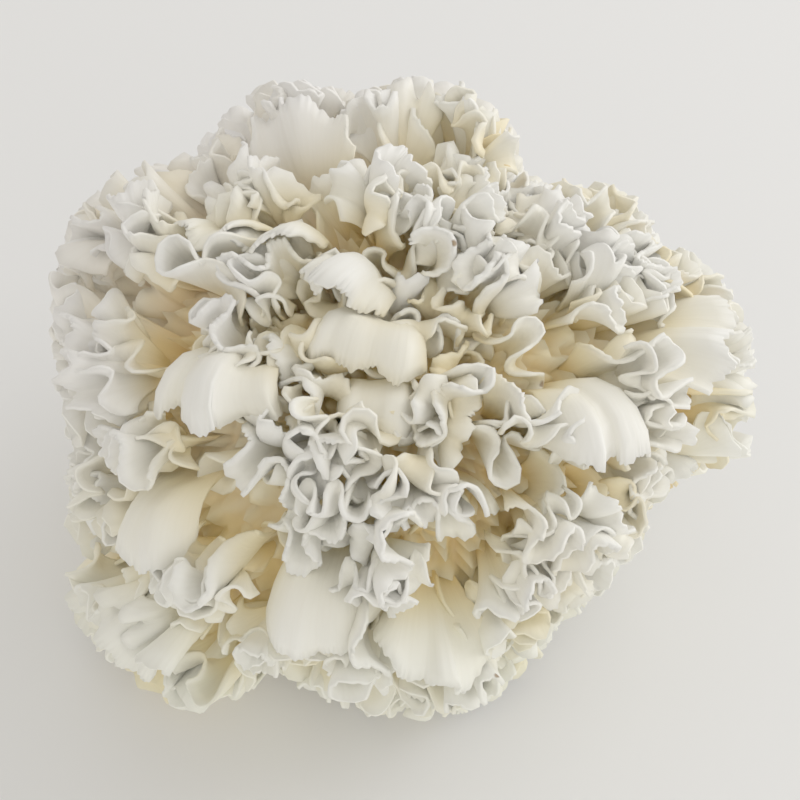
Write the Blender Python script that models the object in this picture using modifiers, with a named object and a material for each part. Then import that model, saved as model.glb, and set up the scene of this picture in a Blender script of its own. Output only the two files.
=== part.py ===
"""Cauliflower mushroom, cut from its tree at the stem.

The fruit body grew as one piece: a short stem swells into a core, and flat fronds with
ruffled margins stand out of the core on all sides, so the whole is one solid. Each frond
is a fan lofted through a few rows of points, given a wall and fused to the core. Metres,
+Z up, origin in the middle of the cut face that the mushroom rests on.
"""

import math
from dataclasses import dataclass

import bmesh
import bpy
import numpy as np

# Head: half extents of the ellipsoid that the margins reach, and its centre
HEAD_HALF = np.array((0.082, 0.080, 0.060))
HEAD_CENTRE = np.array((0.0, 0.0, 0.064))
CORE_SHARE = 0.60
ROOT_SHARE = 0.565

# Stem: the cut face and the swelling above it
STEM_CUT_RADIUS = 0.023
STEM_TOP_RADIUS = 0.031
STEM_HEIGHT = 0.034
STEM_SIDES = 20

# Frond counts and the rule that spreads them
FRONDS = 98
TRIES = 12
LOWEST = -0.80
SCATTER = 0.07
SWING = 0.9
CLEAR = 0.0022
FLOOR_CLEAR = 0.002
WORST_CROSSING = 26
SEED = 7

# Ranges that each frond is drawn from
WIDTH = (0.023, 0.037)
ROOT_WIDTH = 0.005
WAVE_LENGTH = (0.0086, 0.0116)
RUFFLE = (0.0034, 0.0056)
OVERHANG = 0.26
RISE = (1.8, 3.2)
ROLL = (0.0008, 0.0028)
FOLDS = (0.6, 1.3)
FOLD = (0.0015, 0.0055)
BOW = (-0.004, 0.008)
ROUND = (0.25, 0.45)
CURL = (0.1, 0.8)
CURL_START = (0.45, 0.65)
REACH_SPREAD = (0.96, 1.05)

# Wall of a frond, and the rows its mesh has between root and margin
WALL = 0.0015
ROWS = (0.0, 0.6, 1.0)
ROWS_OF_CURLED = (0.0, 0.55, 0.8, 1.0)
CURLED = 1.0

# The view: pixel of the head's centre, size of a pixel, and how far off and steep it looks down
PIXEL = 0.00025
CENTRE_PIXEL = (419, 404)
VIEW_ELEVATION = math.radians(52)
FACING_RADIUS = 0.088
VIEW_DISTANCE = 0.667
VIEW_RIGHT = np.array((1.0, 0.0, 0.0))
VIEW_UP = np.array((0.0, math.sin(VIEW_ELEVATION), math.cos(VIEW_ELEVATION)))
VIEW_BACK = np.array((0.0, -math.cos(VIEW_ELEVATION), math.sin(VIEW_ELEVATION)))

# Hills and hollows of the head: pixel, how far they rise in metres, half width in degrees
RELIEF = {
    "top hill": (400, 165, 0.004, 20),
    "upper left hill": (185, 265, 0.006, 20),
    "left hill": (160, 430, 0.005, 20),
    "lower left hill": (200, 600, 0.008, 18),
    "bottom hill": (410, 625, 0.005, 18),
    "middle left hill": (340, 420, 0.004, 14),
    "upper right hill": (585, 250, 0.005, 18),
    "right hill": (700, 360, 0.006, 18),
    "lower right hill": (560, 540, 0.003, 18),
    "middle right hill": (620, 410, 0.004, 14),
    "middle hill": (480, 470, 0.003, 12),
    "main hollow": (445, 330, -0.013, 11),
    "hollow below it": (425, 405, -0.009, 8),
    "hollow right of it": (545, 390, -0.007, 7),
    "upper left hollow": (215, 295, -0.007, 7),
    "hollow by the hill": (275, 345, -0.007, 8),
    "bottom hollow": (450, 620, -0.006, 8),
    "upper right hollow": (510, 285, -0.007, 8),
    "left hollow": (235, 490, -0.005, 8),
    "lower right hollow": (540, 520, -0.005, 8),
    "lower middle hollow": (480, 540, -0.005, 7),
}

# The outline seen in the view: degrees from its right, and radius at each lobe and notch
OUTLINE = (
    (0, 0.089),
    (7, 0.090),
    (18, 0.087),
    (25, 0.084),
    (31, 0.075),
    (40, 0.078),
    (48, 0.074),
    (57, 0.064),
    (62, 0.065),
    (68, 0.074),
    (80, 0.081),
    (90, 0.080),
    (97, 0.077),
    (105, 0.081),
    (114, 0.086),
    (121, 0.084),
    (126, 0.080),
    (133, 0.083),
    (142, 0.092),
    (152, 0.094),
    (170, 0.091),
    (180, 0.085),
    (190, 0.083),
    (200, 0.088),
    (213, 0.098),
    (228, 0.097),
    (236, 0.094),
    (241, 0.086),
    (246, 0.074),
    (258, 0.077),
    (275, 0.081),
    (291, 0.077),
    (306, 0.068),
    (325, 0.070),
    (340, 0.068),
    (345, 0.074),
    (350, 0.089),
    (360, 0.089),
)

# How near the outline a frond follows it, and how far its reach may change for that
LIMB = 0.42
LIMB_LONGEST = 0.105
AT_LIMB = 0.35
SHORTEST = 0.85
LONGEST = 1.10

# Clusters that fronds lean away from: pixels on the side in view, compass and height behind
CLUSTER_PIXELS = (
    (400, 150),
    (185, 250),
    (150, 440),
    (190, 610),
    (400, 650),
    (340, 440),
    (580, 240),
    (720, 370),
    (590, 520),
    (470, 500),
)
CLUSTER_ANGLES = (
    (20, 20),
    (75, 25),
    (135, 20),
    (190, 0),
    (160, -35),
    (20, -30),
    (90, -25),
    (250, -35),
    (310, -35),
)

# Broad smooth fans: pixel of the root, angle of the lean in the view, width, curl in radians,
# waves, ruffle, reach compared with its neighbours
FANS = {
    "middle fan": (388, 285, -103, 0.030, 2.3, 1.3, 0.0018, 1.08),
    "bottom fan": (335, 590, -97, 0.027, 1.7, 1.3, 0.0018, 1.05),
    "saddle": (208, 345, -100, 0.034, 1.9, 1.8, 0.0045, 1.06),
    "right face fan": (632, 385, -75, 0.027, 1.8, 1.5, 0.0022, 1.04),
    "lowest fan": (455, 650, -93, 0.028, 0.5, 1.6, 0.0026, 1.08),
    "left fan": (160, 495, -110, 0.030, 1.3, 1.4, 0.0022, 1.04),
    "upper left fan": (215, 185, -75, 0.027, 1.0, 1.6, 0.0022, 1.04),
    "second upper fan": (268, 180, -85, 0.026, 1.2, 1.3, 0.0024, 1.04),
    "upper middle fan": (372, 215, -120, 0.026, 1.6, 1.8, 0.0026, 1.03),
    "small middle fan": (388, 375, -95, 0.022, 2.0, 1.4, 0.0020, 1.02),
    "right edge fan": (715, 330, -20, 0.036, 0.6, 2.4, 0.0028, 1.06),
    "top edge fan": (290, 105, 100, 0.036, 0.6, 2.4, 0.0028, 1.04),
}

ENDS = np.array((-1.0, 1.0))
MIDDLE_AND_ENDS = np.array((-1.0, 0.0, 1.0))


@dataclass
class Frond:
    """One fan: where it roots, which way it leans, and the numbers that shape it."""

    direction: np.ndarray
    lean: np.ndarray
    root: float
    top: float
    width: float
    waves: float
    ruffle: float
    rise: float
    roll: float
    folds: float
    fold: float
    fold_phase: float
    bow: float
    round: float
    curl: float
    curl_start: float
    noise: np.ndarray


def unit(vector):
    vector = np.asarray(vector, dtype=float)
    return vector / np.linalg.norm(vector, axis=-1, keepdims=True)


def facing(pixel_x, pixel_y):
    """Direction from the head's centre to the place that the view shows at a pixel."""
    right = (pixel_x - CENTRE_PIXEL[0]) * PIXEL
    up = (CENTRE_PIXEL[1] - pixel_y) * PIXEL
    back = math.sqrt(max(0.0, FACING_RADIUS**2 - right**2 - up**2))
    return unit(right * VIEW_RIGHT + up * VIEW_UP + back * VIEW_BACK)


def compass(azimuth, height):
    """Direction at an azimuth and a height, both in degrees."""
    azimuth, height = math.radians(azimuth), math.radians(height)
    level = math.cos(height)
    return np.array((math.cos(azimuth) * level, math.sin(azimuth) * level, math.sin(height)))


OUTLINE_ANGLES, OUTLINE_RADII = np.transpose(OUTLINE)
PEAKS = np.array([facing(x, y) for x, y, gain, spread in RELIEF.values()])
GAINS = np.array([gain for x, y, gain, spread in RELIEF.values()])
SPREADS = np.array([spread for x, y, gain, spread in RELIEF.values()])
CLUSTERS = np.array([facing(x, y) for x, y in CLUSTER_PIXELS] + [compass(*a) for a in CLUSTER_ANGLES])


def ellipsoid_radius(direction):
    return 1.0 / math.sqrt(((direction / HEAD_HALF) ** 2).sum())


def head_radius(direction):
    """How far the margins reach in a direction: an ellipsoid with relief and the seen outline."""
    radius = ellipsoid_radius(direction)
    away = np.degrees(np.arccos(np.clip(PEAKS @ direction, -1, 1)))
    radius += (GAINS * np.exp(-((away / SPREADS) ** 2))).sum()
    right, up, back = direction @ VIEW_RIGHT, direction @ VIEW_UP, direction @ VIEW_BACK
    limb = math.exp(-((back / LIMB) ** 2))
    angle = math.degrees(math.atan2(up, right)) % 360
    seen = np.interp(angle, OUTLINE_ANGLES, OUTLINE_RADII)
    seen = min(seen / max(math.hypot(right, up), 0.5), LIMB_LONGEST)
    return radius + (seen - radius) * limb


def draw_frond(rng, direction, lean):
    """A frond with its numbers drawn from the ranges above."""
    full = head_radius(direction)
    width = rng.uniform(*WIDTH)
    curl = rng.uniform(*CURL)
    return Frond(
        direction=direction,
        lean=lean,
        root=ROOT_SHARE * ellipsoid_radius(direction),
        top=full * rng.uniform(*REACH_SPREAD),
        width=width,
        waves=width / rng.uniform(*WAVE_LENGTH),
        ruffle=rng.uniform(*RUFFLE),
        rise=rng.uniform(*RISE),
        roll=rng.uniform(*ROLL),
        folds=rng.uniform(*FOLDS),
        fold=rng.uniform(*FOLD),
        fold_phase=rng.uniform(0, math.tau),
        bow=rng.uniform(*BOW),
        round=rng.uniform(*ROUND),
        curl=curl,
        curl_start=rng.uniform(*CURL_START),
        noise=rng.uniform(0, math.tau, 8),
    )


def broad_fan(rng, pixel_x, pixel_y, angle, width, curl, waves, ruffle, gain):
    """A fan that is placed by hand: broader and smoother, and rolled over towards the view."""
    direction = facing(pixel_x, pixel_y)
    angle = math.radians(angle)
    lean = math.cos(angle) * VIEW_RIGHT + math.sin(angle) * VIEW_UP
    lean = unit(lean - direction * (lean @ direction))
    fan = draw_frond(rng, direction, lean)
    fan.top = head_radius(direction) * gain
    fan.width, fan.curl, fan.waves, fan.ruffle = width, curl, waves, ruffle
    fan.rise, fan.roll, fan.fold, fan.bow = 2.0, 0.0012, 0.0025, -0.002
    fan.round, fan.curl_start = 0.3, 0.5
    return fan


def lean_from_cluster(rng, direction):
    """A frond leans away from the middle of its cluster, give or take a turn."""
    nearness = CLUSTERS @ direction
    k = int(np.argmax(nearness))
    away = direction - CLUSTERS[k] * nearness[k]
    away = unit(away - direction * (away @ direction) + 1e-6 * VIEW_RIGHT)
    swing = rng.normal(0, SWING)
    if nearness[k] > math.cos(math.radians(9)):
        swing += rng.uniform(-1.5, 1.5)
    return math.cos(swing) * away + math.sin(swing) * np.cross(direction, away)


def wave_phase(frond, across):
    """Phase of the margin's waves, which are uneven in length."""
    n = frond.noise
    drift = 0.7 * np.sin(2.1 * across + n[1]) + 0.35 * np.sin(5.3 * across + n[2])
    return math.pi * frond.waves * across + drift + n[3]


def folded_sheet(frond, across, along):
    """The sheet before its margin ruffles: a fan that widens, with a few large folds."""
    phase = math.pi * frond.folds * across + frond.fold_phase + 0.4 * np.sin(2.3 * across + frond.noise[0])
    width = ROOT_WIDTH + (frond.width - ROOT_WIDTH) * along**0.75
    x = 0.5 * width * across - 0.28 * frond.fold * along**2 * np.sin(2 * phase)
    y = frond.fold * along**1.4 * np.sin(phase) + frond.bow * (across**2 - 0.4) * along
    return x, y


def frond_surface(frond, across, along):
    """Points of a frond, for across from -1 to 1 and along from 0 at the root to 1 at the margin."""
    x, y = folded_sheet(frond, across, along)
    x_before, y_before = folded_sheet(frond, across - 0.004, along)
    x_after, y_after = folded_sheet(frond, across + 0.004, along)
    tangent_x, tangent_y = x_after - x_before, y_after - y_before
    size = np.hypot(tangent_x, tangent_y)
    tangent_x, tangent_y = tangent_x / size, tangent_y / size

    # The margin is longer than the fan is wide, so it meanders, and its lobes roll over
    phase = wave_phase(frond, across)
    amplitude = frond.ruffle * (0.8 + 0.3 * np.sin(2.9 * across + frond.noise[4]))
    growth = along**frond.rise
    lip = np.clip((along - 0.62) / 0.38, 0, 1) ** 2
    out = (amplitude * growth + frond.roll * lip) * np.sin(phase)
    slide = -OVERHANG * amplitude * growth**2 * np.sin(2 * phase)
    x, y = x - tangent_y * out + tangent_x * slide, y + tangent_x * out + tangent_y * slide

    # The blade stands straight out of the core, then bends over in an arc
    straight_share = frond.curl_start
    arc_share = (1 - straight_share) / frond.curl
    length = (frond.top - frond.root) / (straight_share + arc_share * math.sin(min(frond.curl, math.pi / 2)))
    turn = frond.curl * np.clip((along - straight_share) / (1 - straight_share), 0, 1)
    arc_radius = length * arc_share
    outline = 1 - frond.round * np.abs(across) ** 4 + 0.05 * np.sin(3.7 * across + frond.noise[5])
    rise = (length * np.minimum(along, straight_share) + arc_radius * np.sin(turn)) * outline
    sideways = arc_radius * (1 - np.cos(turn)) * outline
    droop = 0.6 * (frond.roll * lip + 0.35 * frond.ruffle * growth) * np.sin(phase) ** 2
    radius = frond.root + rise - y * np.sin(turn) - droop
    y = y * np.cos(turn) + sideways

    middle = frond.root + 0.85 * (frond.top - frond.root)
    side = np.cross(frond.lean, frond.direction)
    ray = frond.direction + (x / middle)[..., None] * side + (y / middle)[..., None] * frond.lean
    points = HEAD_CENTRE + radius[..., None] * unit(ray)
    return pressed_level(points)


def pressed_level(points):
    """Fronds below the head are pressed level, clear of the plane of the cut face."""
    low = points[..., 2] < FLOOR_CLEAR
    points[low, 2] = FLOOR_CLEAR - 0.001 * (1 - np.exp((points[low, 2] - FLOOR_CLEAR) / 0.002))
    return points


def meet_outline(frond, across, along):
    """Sets a frond's reach: it keeps within the seen outline, and at the limb it just meets it."""
    for _ in range(2):
        rays = frond_surface(frond, across, along).reshape(-1, 3) - HEAD_CENTRE
        right, up, back = rays @ VIEW_RIGHT, rays @ VIEW_UP, rays @ VIEW_BACK
        seen = np.hypot(right, up) * VIEW_DISTANCE / (VIEW_DISTANCE - back)
        angle = np.degrees(np.arctan2(up, right)) % 360
        share = (seen / np.interp(angle, OUTLINE_ANGLES, OUTLINE_RADII)).max()
        if share > 1 or abs(frond.direction @ VIEW_BACK) < AT_LIMB:
            frond.top *= np.clip(1 / share, SHORTEST, LONGEST)


def place_fronds():
    """Fans placed by hand, then fronds spread evenly, each the best of a few seeded tries."""
    rng = np.random.default_rng(SEED)
    across, along = np.meshgrid(np.linspace(-1, 1, 17), (0.25, 0.5, 0.75, 1.0))
    fronds = []
    taken = np.zeros((0, 3))
    for values in FANS.values():
        fan = broad_fan(rng, *values)
        meet_outline(fan, across, along)
        fronds.append(fan)
        taken = np.concatenate([taken, frond_surface(fan, across, along).reshape(-1, 3)])
    golden_angle = math.pi * (3 - math.sqrt(5))
    for i in range(FRONDS):
        height = 1 - (i + 0.5) / FRONDS * (1 - LOWEST)
        level = math.sqrt(1 - height**2)
        spot = np.array((level * math.cos(golden_angle * i), level * math.sin(golden_angle * i), height))
        best, fewest = None, math.inf
        for _ in range(TRIES):
            direction = unit(spot + rng.normal(0, SCATTER, 3))
            frond = draw_frond(rng, direction, lean_from_cluster(rng, direction))
            meet_outline(frond, across, along)
            points = frond_surface(frond, across, along).reshape(-1, 3)
            near = taken[(taken - HEAD_CENTRE) @ direction > 0.02]
            gaps = ((points[:, None] - near[None]) ** 2).sum(-1).min(1, initial=1.0)
            crossing = (gaps < CLEAR**2).sum() + 5 * (points[:, 2] < FLOOR_CLEAR).sum()
            if crossing < fewest:
                best, fewest, best_points = frond, crossing, points
        if fewest <= WORST_CROSSING:
            fronds.append(best)
            taken = np.concatenate([taken, best_points])
    return fronds


def across_at_phases(frond, first, step):
    """Places across the frond where its waves have the phases first, first + step and so on."""
    fine = np.linspace(-1, 1, 401)
    phase = wave_phase(frond, fine)
    wanted = np.arange(math.ceil((phase[0] - first) / step), math.floor((phase[-1] - first) / step) + 1)
    places = np.interp(first + step * wanted, phase, fine)
    margin = 0.35 * step / (math.pi * frond.waves)
    inner = places[(places > -1 + margin) & (places < 1 - margin)]
    return np.concatenate([(-1.0,), inner, (1.0,)])


def frond_rows(frond):
    """Rows as (along, places across): two points at the root, most on the waves of the margin."""
    crest = math.pi / 2 if frond.noise[6] < math.pi else -math.pi / 2
    margin = across_at_phases(frond, crest, math.tau / 3)
    if frond.curl < CURLED:
        across = (ENDS, MIDDLE_AND_ENDS, margin)
        return list(zip(ROWS, across))
    across = (ENDS, MIDDLE_AND_ENDS, across_at_phases(frond, crest, math.tau), margin)
    return list(zip(ROWS_OF_CURLED, across))


def strip(low, high, low_start, high_start):
    """Triangles between two rows of unlike counts, advancing along the row that lags."""
    triangles = []
    i = j = 0
    while i < len(low) - 1 or j < len(high) - 1:
        next_low = low[i + 1] if i < len(low) - 1 else math.inf
        next_high = high[j + 1] if j < len(high) - 1 else math.inf
        if next_low <= next_high:
            triangles.append((low_start + i, low_start + i + 1, high_start + j))
            i += 1
        else:
            triangles.append((low_start + i, high_start + j + 1, high_start + j))
            j += 1
    return triangles


def make_frond(name, frond, collection):
    """The frond's sheet in triangles, which Solidify gives the same split on both faces."""
    rows = frond_rows(frond)
    points, starts = [], []
    for along, across in rows:
        starts.append(len(points))
        points.extend(frond_surface(frond, across, np.full_like(across, along)).tolist())
    triangles = []
    for k in range(len(rows) - 1):
        triangles += strip(rows[k][1], rows[k + 1][1], starts[k], starts[k + 1])
    mesh = bpy.data.meshes.new(name)
    mesh.from_pydata(points, [], triangles)
    blade = bpy.data.objects.new(name, mesh)
    collection.objects.link(blade)
    wall = blade.modifiers.new("wall", "SOLIDIFY")
    wall.thickness = WALL
    wall.offset = 0
    return blade


def make_core():
    """The smaller core that the fronds stand out of, on the cut stem."""
    bpy.ops.mesh.primitive_uv_sphere_add(segments=20, ring_count=12, radius=1, location=HEAD_CENTRE)
    core = bpy.context.object
    core.name = core.data.name = "fruit_body"
    core.scale = HEAD_HALF * CORE_SHARE
    bpy.ops.object.transform_apply(location=True, rotation=False, scale=True)
    return core


def make_stem():
    bpy.ops.mesh.primitive_cone_add(
        vertices=STEM_SIDES,
        radius1=STEM_CUT_RADIUS,
        radius2=STEM_TOP_RADIUS,
        depth=STEM_HEIGHT,
        location=(0, 0, STEM_HEIGHT / 2),
    )
    stem = bpy.context.object
    stem.name = stem.data.name = "stem"
    return stem


def fuse(body, collection):
    """One union of the body with everything in the collection, whose objects then go."""
    union = body.modifiers.new("fuse", "BOOLEAN")
    union.operation = "UNION"
    union.operand_type = "COLLECTION"
    union.collection = collection
    union.solver = "MANIFOLD"
    bpy.context.view_layer.objects.active = body
    bpy.ops.object.modifier_apply(modifier=union.name)
    for piece in list(collection.objects):
        bpy.data.objects.remove(piece)
    bpy.data.collections.remove(collection)


def keep_outer_body(body):
    """Fills the hollows that fusing sealed and drops loose scraps: only the largest shell stays."""
    mesh = bmesh.new()
    mesh.from_mesh(body.data)
    unseen = set(mesh.faces)
    shells = []
    while unseen:
        shell = [unseen.pop()]
        for face in shell:
            for edge in face.edges:
                for other in edge.link_faces:
                    if other in unseen:
                        unseen.remove(other)
                        shell.append(other)
        shells.append(shell)
    shells.sort(key=len)
    for shell in shells[:-1]:
        bmesh.ops.delete(mesh, geom=shell, context="FACES")
    mesh.to_mesh(body.data)
    mesh.free()
    return len(shells)


def tissue_material():
    material = bpy.data.materials.new("mushroom_tissue")
    material.use_nodes = True
    shader = material.node_tree.nodes["Principled BSDF"]
    shader.inputs["Base Color"].default_value = (0.80, 0.77, 0.68, 1)
    shader.inputs["Roughness"].default_value = 0.5
    shader.inputs["Metallic"].default_value = 0.0
    return material


def main():
    for old in list(bpy.data.objects):
        bpy.data.objects.remove(old)
    scene = bpy.context.scene
    mushroom = bpy.data.collections.new("cauliflower_mushroom")
    blades = bpy.data.collections.new("blades")
    scene.collection.children.link(mushroom)
    scene.collection.children.link(blades)

    core = make_core()
    stem = make_stem()
    for obj in (core, stem):
        for holder in list(obj.users_collection):
            holder.objects.unlink(obj)
    mushroom.objects.link(core)
    blades.objects.link(stem)
    fronds = place_fronds()
    for k, frond in enumerate(fronds):
        make_frond(f"frond_{k:03d}", frond, blades)
    fuse(core, blades)
    shells = keep_outer_body(core)
    core.data.materials.clear()
    core.data.materials.append(tissue_material())
    print(f"{len(fronds)} fronds, {shells} shells, {len(core.data.polygons)} faces")


main()
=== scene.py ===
# %% [markdown]
# # Cauliflower mushroom
#
# A cauliflower mushroom grows as one fruit body: a short stem divides into hundreds of thin
# fronds with frilled margins. The solid model gives the head its place and size. This file
# dresses it: every frond gets a fine sheet with its true ruffles, and the tissue gets its soft
# white look with ochre depths.

# %% Load the frame
import math
from dataclasses import dataclass
from functools import partial

import bpy
import numpy as np
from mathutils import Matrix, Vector


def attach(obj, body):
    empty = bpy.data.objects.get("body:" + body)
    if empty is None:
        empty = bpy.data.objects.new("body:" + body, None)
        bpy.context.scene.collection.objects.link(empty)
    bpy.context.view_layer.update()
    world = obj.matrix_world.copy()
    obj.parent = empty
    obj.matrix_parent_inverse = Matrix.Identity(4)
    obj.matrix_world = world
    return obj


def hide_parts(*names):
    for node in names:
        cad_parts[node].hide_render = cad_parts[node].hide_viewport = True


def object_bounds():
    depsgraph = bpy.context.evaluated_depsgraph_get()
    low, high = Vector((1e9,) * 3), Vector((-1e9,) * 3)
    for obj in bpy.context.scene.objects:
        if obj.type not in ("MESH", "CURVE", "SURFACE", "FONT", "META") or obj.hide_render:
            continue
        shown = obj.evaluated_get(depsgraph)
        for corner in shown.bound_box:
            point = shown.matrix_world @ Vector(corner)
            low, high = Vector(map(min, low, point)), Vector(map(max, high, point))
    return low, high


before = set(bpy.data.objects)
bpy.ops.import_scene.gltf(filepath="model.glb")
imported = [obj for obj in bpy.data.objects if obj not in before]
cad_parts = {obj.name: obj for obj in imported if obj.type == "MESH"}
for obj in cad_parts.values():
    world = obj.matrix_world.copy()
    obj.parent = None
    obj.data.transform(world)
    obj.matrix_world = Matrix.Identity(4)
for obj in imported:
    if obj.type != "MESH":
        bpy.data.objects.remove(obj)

BODY = "root"
NODE = "fruit_body"
cad_box = [list(corner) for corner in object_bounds()]
bpy.ops.object.select_all(action="DESELECT")
print("frame loaded, box of the solids in metres:", cad_box)

# %% [markdown]
# ## The shape of the head
#
# The margins of all fronds together make a rough dome. It could be sculpted, but a formula is
# easier to keep equal to the solid model: an ellipsoid with a few hills and hollows, each
# named and placed by the pixel of the photograph that shows it, and with the lobed outline
# that the photograph shows at its edge. Sizes are metres and angles are degrees.

# %% Head size and the photograph's view
HEAD_HALF = np.array((0.082, 0.080, 0.060))
HEAD_CENTRE = np.array((0.0, 0.0, 0.064))
ROOT_SHARE = 0.565

PIXEL = 0.00025
CENTRE_PIXEL = (419, 404)
VIEW_ELEVATION = math.radians(52)
SEEN_RADIUS = 0.088
VIEW_DISTANCE = 0.667
VIEW_RIGHT = np.array((1.0, 0.0, 0.0))
VIEW_UP = np.array((0.0, math.sin(VIEW_ELEVATION), math.cos(VIEW_ELEVATION)))
VIEW_BACK = np.array((0.0, -math.cos(VIEW_ELEVATION), math.sin(VIEW_ELEVATION)))


def unit(vector):
    vector = np.asarray(vector, dtype=float)
    return vector / np.linalg.norm(vector, axis=-1, keepdims=True)


def facing(pixel_x, pixel_y):
    """Direction from the head's centre to the place that the view shows at a pixel."""
    right = (pixel_x - CENTRE_PIXEL[0]) * PIXEL
    up = (CENTRE_PIXEL[1] - pixel_y) * PIXEL
    back = math.sqrt(max(0.0, SEEN_RADIUS**2 - right**2 - up**2))
    return unit(right * VIEW_RIGHT + up * VIEW_UP + back * VIEW_BACK)


def compass(azimuth, height):
    """Direction at an azimuth and a height, both in degrees."""
    azimuth, height = math.radians(azimuth), math.radians(height)
    level = math.cos(height)
    return np.array((math.cos(azimuth) * level, math.sin(azimuth) * level, math.sin(height)))


print("head", (2000 * HEAD_HALF).round(), "mm across")

# %% Hills and hollows
# Each is a pixel of the photograph, a gain in metres and a spread in degrees
RELIEF = {
    "top hill": (400, 165, 0.004, 20),
    "upper left hill": (185, 265, 0.006, 20),
    "left hill": (160, 430, 0.005, 20),
    "lower left hill": (200, 600, 0.008, 18),
    "bottom hill": (410, 625, 0.005, 18),
    "middle left hill": (340, 420, 0.004, 14),
    "upper right hill": (585, 250, 0.005, 18),
    "right hill": (700, 360, 0.006, 18),
    "lower right hill": (560, 540, 0.003, 18),
    "middle right hill": (620, 410, 0.004, 14),
    "middle hill": (480, 470, 0.003, 12),
    "main hollow": (445, 330, -0.013, 11),
    "hollow below it": (425, 405, -0.009, 8),
    "hollow right of it": (545, 390, -0.007, 7),
    "upper left hollow": (215, 295, -0.007, 7),
    "hollow by the hill": (275, 345, -0.007, 8),
    "bottom hollow": (450, 620, -0.006, 8),
    "upper right hollow": (510, 285, -0.007, 8),
    "left hollow": (235, 490, -0.005, 8),
    "lower right hollow": (540, 520, -0.005, 8),
    "lower middle hollow": (480, 540, -0.005, 7),
}
PEAKS = np.array([facing(x, y) for x, y, gain, spread in RELIEF.values()])
GAINS = np.array([gain for x, y, gain, spread in RELIEF.values()])
SPREADS = np.array([spread for x, y, gain, spread in RELIEF.values()])
print(len(PEAKS), "hills and hollows")

# %% Outline
# Angle around the middle of the picture in degrees, counted from the right, and reach in metres
OUTLINE = (
    (0, 0.089),
    (7, 0.090),
    (18, 0.087),
    (25, 0.084),
    (31, 0.075),
    (40, 0.078),
    (48, 0.074),
    (57, 0.064),
    (62, 0.065),
    (68, 0.074),
    (80, 0.081),
    (90, 0.080),
    (97, 0.077),
    (105, 0.081),
    (114, 0.086),
    (121, 0.084),
    (126, 0.080),
    (133, 0.083),
    (142, 0.092),
    (152, 0.094),
    (170, 0.091),
    (180, 0.085),
    (190, 0.083),
    (200, 0.088),
    (213, 0.098),
    (228, 0.097),
    (236, 0.094),
    (241, 0.086),
    (246, 0.074),
    (258, 0.077),
    (275, 0.081),
    (291, 0.077),
    (306, 0.068),
    (325, 0.070),
    (340, 0.068),
    (345, 0.074),
    (350, 0.089),
    (360, 0.089),
)
OUTLINE_ANGLES, OUTLINE_RADII = np.transpose(OUTLINE)
print("outline of", len(OUTLINE), "places")

# %% Clusters
# The head's lobes, from which fronds lean away: those that the photograph shows, and the rest
CLUSTER_PIXELS = (
    (400, 150),
    (185, 250),
    (150, 440),
    (190, 610),
    (400, 650),
    (340, 440),
    (580, 240),
    (720, 370),
    (590, 520),
    (470, 500),
)
CLUSTER_ANGLES = (
    (20, 20),
    (75, 25),
    (135, 20),
    (190, 0),
    (160, -35),
    (20, -30),
    (90, -25),
    (250, -35),
    (310, -35),
)
CLUSTERS = np.array([facing(*pixel) for pixel in CLUSTER_PIXELS] + [compass(*a) for a in CLUSTER_ANGLES])
print(len(CLUSTERS), "clusters")

# %% How far the margins reach
# How near the outline the reach follows it, and how long it may get where the outline is seen aslant
LIMB = 0.42
LIMB_LONGEST = 0.105
MOST_ASLANT = 0.5


def ellipsoid_radius(direction):
    return 1.0 / np.sqrt(((direction / HEAD_HALF) ** 2).sum(-1))


def relief(direction):
    """Height of the hills and hollows in a direction."""
    away = np.degrees(np.arccos(np.clip(PEAKS @ direction, -1, 1)))
    return (GAINS * np.exp(-((away / SPREADS) ** 2))).sum()


def head_radius(direction):
    """How far the margins reach in a direction: an ellipsoid with relief and the seen outline."""
    radius = ellipsoid_radius(direction) + relief(direction)
    right, up, back = direction @ VIEW_RIGHT, direction @ VIEW_UP, direction @ VIEW_BACK
    limb = math.exp(-((back / LIMB) ** 2))
    angle = math.degrees(math.atan2(up, right)) % 360
    seen = np.interp(angle, OUTLINE_ANGLES, OUTLINE_RADII)
    seen = min(seen / max(math.hypot(right, up), MOST_ASLANT), LIMB_LONGEST)
    return radius + (seen - radius) * limb


print("the margins reach", round(1000 * head_radius(np.array((0.0, 0.0, 1.0)))), "mm straight up")

# %% [markdown]
# ## One frond as a formula
#
# A frond is a fan that is short at its root and much longer at its margin than the space it
# has, so the margin buckles into waves. Cloth simulation could find such waves, but not the
# same ones as the solid model has. A formula does: a few broad folds, then ruffles that grow
# towards the margin and lean past themselves like a river's bends, then an arc that bends the
# blade over. The fine sheet adds what the solid is too coarse for: ripples, scallops, teeth.

# %% What shapes a frond
RANGES = {
    "width": (0.023, 0.037),
    "wave_length": (0.0086, 0.0116),
    "ruffle": (0.0034, 0.0056),
    "rise": (1.8, 3.2),
    "roll": (0.0008, 0.0028),
    "folds": (0.6, 1.3),
    "fold": (0.0015, 0.0055),
    "bow": (-0.004, 0.008),
    "round": (0.25, 0.45),
    "curl": (0.1, 0.8),
    "curl_start": (0.45, 0.65),
    "reach": (0.96, 1.05),
}


@dataclass
class Frond:
    """One fan: where it roots, which way it leans, and the numbers that shape it."""

    direction: np.ndarray
    lean: np.ndarray
    root: float
    top: float
    width: float
    waves: float
    ruffle: float
    rise: float
    roll: float
    folds: float
    fold: float
    fold_phase: float
    bow: float
    round: float
    curl: float
    curl_start: float
    noise: np.ndarray
    level: float = 1.0


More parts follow.
